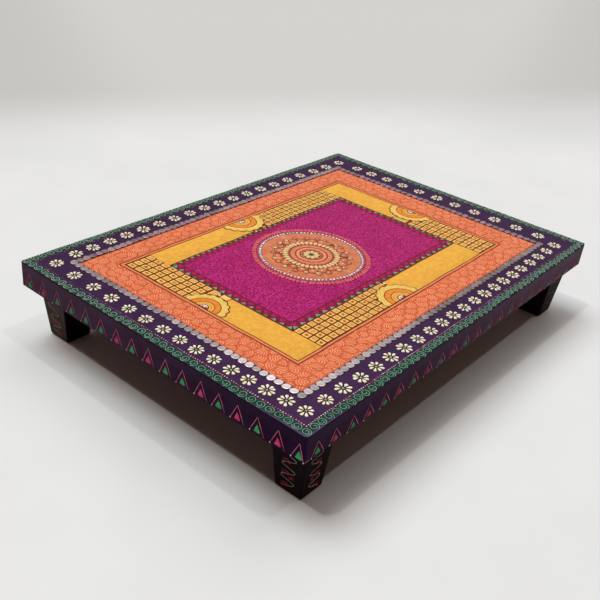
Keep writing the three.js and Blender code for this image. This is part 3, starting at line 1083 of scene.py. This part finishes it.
def rosettes():
    names = ("check_line", "rim_pale", "rim_orange", "dot_white", "bead_ground", "rim_amber")
    for side in SIDES:
        relief = Relief("rosette_" + side, *names)
        strip = Strip(side)
        radius = strip.radius
        centre = strip.at(strip.rosette_at, 0.3)
        swell = radius * 0.07
        half_ring(relief, strip, 0.01, radius * 0.98, 0.24, 0, swell)
        half_ring(relief, strip, radius * 0.71, radius * 0.93, 0.4, 1, swell)
        for inner, outer, colour in ROSETTE_RINGS:
            half_ring(relief, strip, radius * inner, radius * outer, 0.32, names.index(colour))
        for i in range(ROSETTE_RAYS):
            ray = strip.ray(math.pi * (i + 0.5) / ROSETTE_RAYS)
            line = [centre + ray * radius * 0.83, centre + ray * radius * 0.96]
            ridge(relief, line, 0.5, 0.2, lift=0.42, material=2 if i % 2 else 0)
        for i in range(5):
            spot = centre + strip.ray(math.pi * (i + 0.5) / 5) * radius * 0.145
            dome(relief, circle(spot, radius * 0.048, 9), 0.4, lift=0.4, material=3 if i else 4)
        heart = circle(centre + strip.inward * radius * 0.06, radius * 0.05, 9)
        dome(relief, heart, 0.4, lift=0.4, material=3)
        relief.finish()


# Sawtooth and magenta field

def tooth_row(relief, base, tips, height, colours, rng, share, lift, offset=0.5):
    """Teeth between two lines, each line a share of the way from the yellow band to the magenta field."""
    lines = [edges(middle(YELLOW_INNER, FIELD_EDGE, line)) for line in (base, tips)]
    for pitch, (first, last), (tip_first, _) in zip(TOOTH_PITCHES, *lines):
        run = np.linalg.norm(last - first)
        along = (last - first) / run
        left = np.array((-along[1], along[0]))
        reach = (tip_first - first) @ left
        count = round(run / pitch)
        for i in range(count):
            at = first + along * run * (i + offset) / count
            half = run / count * rng.uniform(share - 0.04, share + 0.03)
            tip = at + along * rng.uniform(-0.8, 0.8) + left * reach * rng.uniform(0.88, 1.1)
            outline = [at - along * half, at + along * half, tip]
            if reach < 0:
                outline.reverse()
            dome(relief, outline, height, lift=lift, material=rng.choice(colours))


def sawtooth():
    ground = Relief("sawtooth_ground", "crimson", "line_dark")
    bands(ground, YELLOW_INNER, FIELD_EDGE, ((0.93, 0.08, 0), (1.0, 0.14, 1)))
    ground.finish()
    teeth = Relief("sawtooth_teeth", "teal", "line_dark", "crimson_bright", "tooth_olive", "tooth_pale")
    tooth_row(teeth, 0.0, 0.66, 0.12, (1,), random.Random(62), 0.46, lift=0.06)
    tooth_row(teeth, 0.08, 0.52, 0.4, (0, 0, 0, 0, 3, 4), random.Random(62), 0.32, lift=0.1)
    tooth_row(teeth, 0.9, 0.3, 0.16, (2,), random.Random(61), 0.42, lift=0.08, offset=0.0)
    teeth.finish()


def pebble_heights(grid, low, high):
    """Heights of small packed pebbles, each about a point scattered in a cell of its own."""
    rng = random.Random(71)
    wide, tall = [int(reach / PEBBLE) + 3 for reach in high - low]
    draws = [rng.random() for i in range(tall * wide * 3)]
    scatter = np.array(draws).reshape(tall, wide, 3)
    cell = np.floor((grid - low) / PEBBLE).astype(int) + 1
    nearest = np.full(len(grid), 9.0)
    size = np.zeros(len(grid))
    for dj in (-1, 0, 1):
        for di in (-1, 0, 1):
            j = np.clip(cell[:, 1] + dj, 0, tall - 1)
            i = np.clip(cell[:, 0] + di, 0, wide - 1)
            jitter = scatter[j, i]
            spot = low + (np.stack([i - 1, j - 1], -1) + jitter[:, :2]) * PEBBLE
            away = np.linalg.norm(grid - spot, axis=1) / PEBBLE
            closer = away < nearest
            nearest = np.where(closer, away, nearest)
            size = np.where(closer, jitter[:, 2], size)
    return 0.12 + (0.16 + 0.34 * size) * np.clip(1 - nearest * 1.35, 0, 1) ** 0.7


def magenta_field():
    """One close mesh of pebbles, flat under the medallion."""
    low, _, high, _ = corners(FIELD_EDGE)
    columns, rows = [int(reach / FIELD_STEP) for reach in high - low]
    spots = [np.linspace(low[k], high[k], steps) for k, steps in enumerate((columns, rows))]
    grid = np.stack(np.meshgrid(*spots), -1).reshape(-1, 2)
    heights = pebble_heights(grid, low, high)
    heights[np.linalg.norm(grid - MEDALLION_CENTRE, axis=1) < MEDALLION_RADIUS * 0.955] = 0.05
    relief = Relief("magenta_field", "magenta")
    faces = strip_faces(rows, columns, wrap_columns=False, flip=True)
    relief.add(np.column_stack([grid, heights]), faces)
    relief.finish()


# Medallion

def ring(relief, inner, outer, height, lift, material, scallops=0, swell=0.0, count=180):
    """A flat ring of the medallion, with its edges and its scallops as shares of the medallion's radius."""
    turn = np.arange(count) * TURN / count
    wave = np.abs(np.sin(turn * scallops / 2)) * swell * MEDALLION_RADIUS
    outside = MEDALLION_CENTRE + rays(turn) * (MEDALLION_RADIUS * outer + wave)[:, None]
    within = MEDALLION_CENTRE + rays(turn) * max(MEDALLION_RADIUS * inner, 0.02)
    band(relief, outside, within, height, lift=lift, material=material)


def polar(share, angle):
    """A point of the medallion, at a share of its radius from its middle."""
    return MEDALLION_CENTRE + MEDALLION_RADIUS * share * np.array([math.cos(angle), math.sin(angle)])


def bead(relief, share, angle, radius, count, height, lift, material=0):
    outline = circle(polar(share, angle), MEDALLION_RADIUS * radius, count)
    dome(relief, outline, height, lift=lift, material=material)


def ray_petal(relief, shares, half_width, waist, angle, height, lift, material):
    """A petal between two shares of the medallion's radius."""
    inner, outer, width = [MEDALLION_RADIUS * share for share in (*shares, half_width)]
    outline = turned(petal(inner, outer, width, waist), angle, MEDALLION_CENTRE)
    dome(relief, outline, height, lift=lift, material=material)


def lace(rng):
    relief = Relief("medallion_lace", "lace_dark", "coral", "coral_pink")
    count = 96
    ring(relief, 0.85, 0.975, 0.34, 0.1, 0, scallops=count, swell=0.03, count=count * 6)
    for angle in around(count, 0.1, rng):
        ray_petal(relief, (0.905, rng.uniform(0.985, 1.0)), 0.026, 1.0, angle, 0.4, 0.36, 1)
        bead(relief, 0.95, angle, 0.01, 7, 0.2, 0.72)
        bead(relief, 0.89, angle + math.pi / count, 0.014, 7, 0.3, 0.4, 1 + rng.choice((0, 1)))
    relief.finish()


def beads(rng):
    relief = Relief("medallion_beads", "bead_foil", "bead_ground", slot="bright_disc")
    ring(relief, 0.822, 0.878, 0.4, 0.1, 1)
    for angle in around(84, 0.12, rng):
        bead(relief, 0.85, angle, rng.uniform(0.017, 0.026), 9, 0.7, 0.4)
    relief.finish()


def medallion_disc(rng):
    relief = Relief("medallion_disc", "medal_orange", "rim_orange", "medal_cream", "coral_light")
    ring(relief, 0.0, 0.825, 0.3, 0.1, 0)
    for angle in around(78, 0.2, rng):
        inner = rng.uniform(0.69, 0.74)
        outer = rng.uniform(0.77, 0.82)
        line = [polar(inner, angle), polar((inner + outer) / 2, angle + 0.01), polar(outer, angle)]
        ridge(relief, line, 0.6, 0.22, lift=0.35, material=rng.choice((1, 3)))
    for angle in around(9, 0.25, rng):
        line = [polar(0.69, angle), polar(0.76, angle + 0.02), polar(0.815, angle)]
        ridge(relief, line, 1.3, 0.4, lift=0.4, material=2)
    relief.finish()


def shell(relief, centre, radius, angle, shade, rng):
    """A small round shell with a dark outline, a curl across it and a dot."""
    dome(relief, circle(centre, radius + 0.75, 14), 0.3, lift=0.4, soft=False)
    dome(relief, circle(centre, radius - 0.2, 14), 0.5, lift=0.5, material=shade)
    arc = np.linspace(-1.5, 1.5, 9) + angle + rng.uniform(-0.7, 0.7)
    curl = centre + rays(arc) * radius * 0.55
    ridge(relief, curl, 0.7, 0.3, lift=0.9)
    dome(relief, circle(centre, radius * 0.28, 8), 0.3, lift=0.98, material=rng.choice((2, 2, 3)))


def rose(rng):
    """Packed shells of two sizes round a ring of cream beads."""
    relief = Relief("medallion_rose", "rose_brown", "coral_light", "medal_cream", "teal", "medal_orange")
    count = 22
    ring(relief, 0.45, 0.6, 0.34, 0.3, 0, scallops=count * 2, swell=0.02, count=count * 12)
    for angle in around(count, 0.2, rng):
        outer = angle + math.pi / count
        bump = polar(rng.uniform(0.625, 0.65), outer)
        shell(relief, bump, MEDALLION_RADIUS * rng.uniform(0.036, 0.048), outer, rng.choice((1, 4, 2)), rng)
        centre = polar(rng.uniform(0.535, 0.585), angle)
        radius = MEDALLION_RADIUS * rng.uniform(0.058, 0.074)
        shell(relief, centre, radius, angle, rng.choice((1, 1, 4, 1)), rng)
        bead(relief, 0.5, outer, 0.02, 8, 0.4, 0.5, rng.choice((1, 2)))
    count = 36
    ring(relief, 0.355, 0.475, 0.5, 0.3, 0, scallops=count, swell=0.02, count=count * 6)
    for angle in around(count):
        ray_petal(relief, (0.375, 0.484), 0.036, 0.75, angle, 0.5, 0.78, 2)
    relief.finish()


def medallion_heart():
    names = ("line_brown", "coral_light", "medal_orange", "medal_cream", "medal_green")
    relief = Relief("medallion_heart", *names)
    ring(relief, 0.0, 0.362, 0.5, 0.3, 0, count=120)
    for inner, outer, material in ((0.275, 0.35, 1), (0.195, 0.255, 1), (0.155, 0.175, 2)):
        ring(relief, inner, outer, 0.4, 0.6, material, count=120)
    for angle in around(30):
        bead(relief, 0.225, angle, 0.016, 7, 0.25, 0.98, 3)
    for angle in around(9):
        ray_petal(relief, (0.03, 0.142), 0.043, 0.3, angle, 0.6, 0.78, 3)
    bead(relief, 0.0, 0.0, 0.045, 10, 0.8, 0.9, 4)
    relief.finish()


def medallion():
    rng = random.Random(81)
    lace(rng)
    beads(rng)
    medallion_disc(rng)
    rose(rng)
    medallion_heart()


# Painted sides

def plane_of(side):
    """Placing on one side and round its corners: along from its left end seen from outside, up, and out."""
    out = np.array(OUTWARDS[side])
    along = np.array((-out[1], out[0]))
    reach = HALF_Y if side in ("front", "back") else HALF_X
    half_run = HALF_X if side in ("front", "back") else HALF_Y

    def place(points):
        flat = np.clip(points[:, 0], SIDE_CORNER, half_run * 2 - SIDE_CORNER)
        turn = (points[:, 0] - flat) / SIDE_CORNER
        reached = SIDE_CORNER + points[:, 2]
        across = flat + reached * np.sin(turn) - half_run
        outwards = reach - SIDE_CORNER + reached * np.cos(turn)
        spots = outwards[:, None] * out + across[:, None] * along
        return np.column_stack([spots, points[:, 1] + BAND_FOOT])

    return place, half_run * 2


def peak(relief, feet, tip, foot_level, leaf, rng):
    """An open peak over a small filled leaf, with a pale dot at its left foot."""
    left_foot, right_foot = (feet[0], foot_level), (feet[1], foot_level - 0.4)
    ridge(relief, [left_foot, middle(left_foot, tip, 0.5), tip], PEAK_LINE, 0.4)
    bend = middle(tip, right_foot, 0.55)
    ridge(relief, [tip, (bend[0] + 0.3, bend[1]), right_foot], PEAK_LINE, 0.4)
    base, top = 4.2 * rng.uniform(0.92, 1.08), tip[1] * 0.58
    low = foot_level + 1.0
    waist = low + (top - low) * 0.55
    at = tip[0] + 0.5
    outline = [(at - base, low + 0.5), (at - base * 0.3, low), (at + base * 0.7, low + 0.1)]
    outline += [(at + base, low + 1.2), (at + base * 0.62, waist)]
    outline += [(tip[0] + 0.1, top), (at - base * 0.55, waist)]
    dome(relief, outline, 0.45, material=leaf)
    dome(relief, circle(left_foot, 0.8, 8), 0.5, material=3)


def peaks():
    rng = random.Random(91)
    half_corner = SIDE_CORNER * (1 - math.pi / 4)
    for side in SIDES:
        place, run = plane_of(side)
        count, first, last, height, foot_level, reach_left, reach_right = PEAKS[side]
        front = side == "front"
        leaves = FRONT_LEAVES if front else "gp" * count
        colours = ("fill_green", "fill_pink") if front else ("dull_green", "dull_pink")
        colours = ("peak_pink", *colours, "peak_dot")
        relief = Relief("peaks_" + side, *colours, slot="side_paint", place=place)
        for i in range(count):
            share = i / (count - 1)
            bow = 2.4 * math.sin(math.pi * share) if front else 0.0
            at = first + (last - first) * share + bow + rng.uniform(-0.5, 0.5)
            feet = (max(at - reach_left, half_corner), min(at + reach_right, run - half_corner))
            tip = (min(at, run - 6.0), height * rng.uniform(0.97, 1.03))
            peak(relief, feet, tip, foot_level, 1 if leaves[i] == "g" else 2, rng)
        if side == "right":
            line = [(half_corner, 0.6), (4.0, 0.9), (8.0, 1.2)]
            ridge(relief, line, PEAK_LINE, 0.4)
            dome(relief, circle(line[0], 0.8, 8), 0.5, material=3)
        relief.finish()


# Painted legs

def leg_reach(corner, height):
    """How far a leg's outer faces stand from the table's middle at a height, across and lengthwise."""
    points = np.array([vertex.co for vertex in frame["nodes"]["leg_" + corner].data.vertices]) / MM
    level = points[np.abs(points[:, 2] - height) < 0.2]
    return np.abs(level[:, :2]).max(0)


def leg_plane(corner, side):
    """Placing on an outward face of a leg: away from its outer edge, up, and out."""
    sign_x = 1 if corner.endswith("right") else -1
    sign_y = 1 if corner.startswith("back") else -1
    foot = leg_reach(corner, LEG_FOOT_TOP)
    head = leg_reach(corner, BAND_FOOT)

    def place(points):
        share = (points[:, 1:2] - LEG_FOOT_TOP) / (BAND_FOOT - LEG_FOOT_TOP)
        outer = foot + (head - foot) * share
        away, out = points[:, 0:1], points[:, 2:3]
        if side == "y":
            x = sign_x * (outer[:, 0:1] - away)
            y = sign_y * (outer[:, 1:2] + out)
        else:
            x = sign_x * (outer[:, 0:1] + out)
            y = sign_y * (outer[:, 1:2] - away)
        return np.column_stack([x, y, points[:, 1:2]])

    return place


def leg_scrawl(corner, side, seed):
    """A winding line down a leg's face, with pairs of short red strokes in its bends."""
    rng = random.Random(seed)
    name = "leg_lines_" + corner + "_" + side
    colours = ("leg_dull", "leg_rust") if corner.startswith("back") else ("leg_grey", "leg_red")
    relief = Relief(name, *colours, slot="leg_paint", place=leg_plane(corner, side))
    waves = (BAND_FOOT - LEG_FOOT_TOP - 9.0) / SCRAWL_PERIOD
    turn = np.linspace(0, waves * TURN, 120)
    sway = np.sin(turn + rng.uniform(-0.2, 0.2))
    squared = sway * (1.18 - 0.18 * sway ** 2)
    across = SCRAWL_MIDDLE - SCRAWL_HALF * squared
    up = SCRAWL_TOP - turn / TURN * SCRAWL_PERIOD + SCRAWL_SLANT * sway
    ridge(relief, np.column_stack([across, up]), SCRAWL_LINE, 0.4)
    for bend in range(round(waves)):
        level = SCRAWL_TOP - (bend + 0.72) * SCRAWL_PERIOD
        for stroke in range(2):
            root = np.array((SCRAWL_MIDDLE + SCRAWL_HALF * 1.05, level + 5.2 - stroke * 3.2))
            tip = root + (-7.5 + rng.uniform(-1.0, 1.0), 1.6)
            hook = tip + (-1.4, -1.8)
            ridge(relief, [root, middle(root, tip, 0.6), tip, hook], SCRAWL_STROKE, 0.4, material=1)
        if bend % 2 == 0:
            for stroke in range(2):
                root = np.array((SCRAWL_MIDDLE - SCRAWL_HALF * 0.15, level + 0.6 - stroke * 2.4))
                tip = root + (-6.5, 2.0)
                ridge(relief, [root, middle(root, tip, 0.5), tip], SCRAWL_STROKE, 0.4, material=1)
    seen_mirrored = (corner in ("front_left", "back_right")) == (side == "y")
    if not seen_mirrored:
        relief.faces = [tuple(reversed(face)) for face in relief.faces]
    relief.finish()


def leg_scrawls():
    seed = 100
    for corner in ("front_left", "front_right", "back_left", "back_right"):
        for side in ("y", "x"):
            seed += 1
            leg_scrawl(corner, side, seed)


# CAD nodes keep their shapes and get their finishes

def dress_nodes():
    coats = {
        "batten": wood("under_stain", (46, 30, 26), (34, 22, 20)),
        "dowel": wood("dowel_beech", (202, 166, 126), (186, 148, 108), ring=1.5),
        "top": board_paint(),
        "rail": side_paint(),
        "leg": leg_paint(),
        "disc": finishes["disc_foil"],
        "screw": finishes["screw_zinc"],
    }
    for name, node in frame["nodes"].items():
        material = coats["screw" if "screw" in name else name.split("_")[0]]
        if not node.material_slots:
            node.data.materials.append(material)
        for slot in node.material_slots:
            slot.material = material


# Floor, light and camera

# Level directions on the floor, of which the last is longer than one and so brings its bounds nearer
BACK_LEFT = (-0.87, 0.493)
BACK_RIGHT = (0.493, 0.87)
FRONT_LEFT = (-0.493, -0.87)
RIGHT = (1.2325, 0.451)


def floor_paint():
    """Pale grey, with painted shade that darkens it a little to the sides and far behind the table."""
    made = Nodes("floor_pale")
    near = made.mix(made.fit(made.noise(160.0, detail=2.0), 0.3, 0.7), (232, 233, 234), (229, 230, 231))
    # Painted shade: darker towards the back right and the front left, away behind the table
    aside_shade = made.mix(made.ramp(BACK_RIGHT, 0.4, 0.95), near, (218, 219, 220))
    aside_shade = made.mix(made.ramp(FRONT_LEFT, 0.1, 0.36), aside_shade, (224, 225, 226))
    near = made.mix(made.ramp(BACK_LEFT, 0.5, 0.74), near, aside_shade)
    # Painted shade: darker far behind the table
    far = made.mix(made.ramp(FRONT_LEFT, -0.12, 0.34), (210, 209, 208), (197, 196, 194))
    far = made.mix(made.ramp(RIGHT, -0.15, 0.4), far, (198, 197, 195))
    colours = made.mix(made.ramp(BACK_LEFT, 0.7, 1.08), near, far)
    made.tree.links.new(colours, made.shader["Base Color"])
    made.shader["Roughness"].default_value = 0.85
    made.shader["Specular IOR Level"].default_value = 0.1
    return made.material


def floor():
    """One wide level sheet under the feet."""
    mesh = bpy.data.meshes.new("floor")
    signs = ((-1, -1), (1, -1), (1, 1), (-1, 1))
    points = [(x * FLOOR_REACH, y * FLOOR_REACH, FLOOR_LEVEL) for x, y in signs]
    mesh.from_pydata(points, [], [(0, 1, 2, 3)])
    mesh.materials.append(floor_paint())
    plane = bpy.data.objects.new("floor", mesh)
    bpy.context.scene.collection.objects.link(plane)


def world():
    """A soft room light for the object, and a pale grey wall for the camera and for reflections."""
    made = bpy.data.worlds.new("studio")
    bpy.context.scene.world = made
    made.use_nodes = True
    tree = made.node_tree
    tree.nodes.clear()
    seen = new_node(tree, "Background", {"Color": linear((212, 210, 208))}).outputs[0]
    lit = new_node(tree, "Background", {"Color": ROOM_COLOUR, "Strength": ROOM_LIGHT}).outputs[0]
    rays = new_node(tree, "LightPath", {}).outputs
    direct = rays["Is Camera Ray"]
    for kind in ("Is Glossy Ray", "Is Transmission Ray"):
        total = new_node(tree, "Math", {0: direct, 1: rays[kind]})
        total.operation = "ADD"
        total.use_clamp = True
        direct = total.outputs[0]
    blend = new_node(tree, "MixShader", {"Fac": direct, 1: lit, 2: seen})
    new_node(tree, "OutputWorld", {"Surface": blend.outputs[0]})


def lamp(name, direction, share, angle, colour):
    """A distant soft light that gives a level white surface its share of full brightness."""
    data = bpy.data.lights.new(name, "SUN")
    way = Vector(direction).normalized()
    data.angle = math.radians(angle)
    data.energy = share * math.pi / way.z
    data.color = colour
    sun = bpy.data.objects.new(name, data)
    sun.rotation_mode = "QUATERNION"
    sun.rotation_quaternion = way.to_track_quat("Z", "Y")
    bpy.context.scene.collection.objects.link(sun)


def camera():
    data = bpy.data.cameras.new("camera")
    data.sensor_fit = "HORIZONTAL"
    data.sensor_width = 36.0
    data.lens = LENS
    data.shift_x, data.shift_y = LENS_SHIFT
    eye = bpy.data.objects.new("camera", data)
    azimuth = math.radians(EYE_AZIMUTH)
    elevation = math.radians(EYE_ELEVATION)
    level = math.cos(elevation)
    back = Vector((math.sin(azimuth) * level, -math.cos(azimuth) * level, math.sin(elevation)))
    roll = Quaternion((0, 0, 1), math.radians(EYE_ROLL))
    eye.location = EYE
    eye.rotation_mode = "QUATERNION"
    eye.rotation_quaternion = (-back).to_track_quat("-Z", "Y") @ roll
    bpy.context.scene.collection.objects.link(eye)
    bpy.context.scene.camera = eye


green_band()
scrolls()
thread()
daisies()
disc_rows()
curls()
lines()
yellow_band()
rosettes()
sawtooth()
magenta_field()
medallion()
peaks()
leg_scrawls()
dress_nodes()
floor()
world()
for name, values in LAMPS.items():
    lamp(name, *values)
camera()
bpy.context.scene.view_settings.view_transform = "Standard"
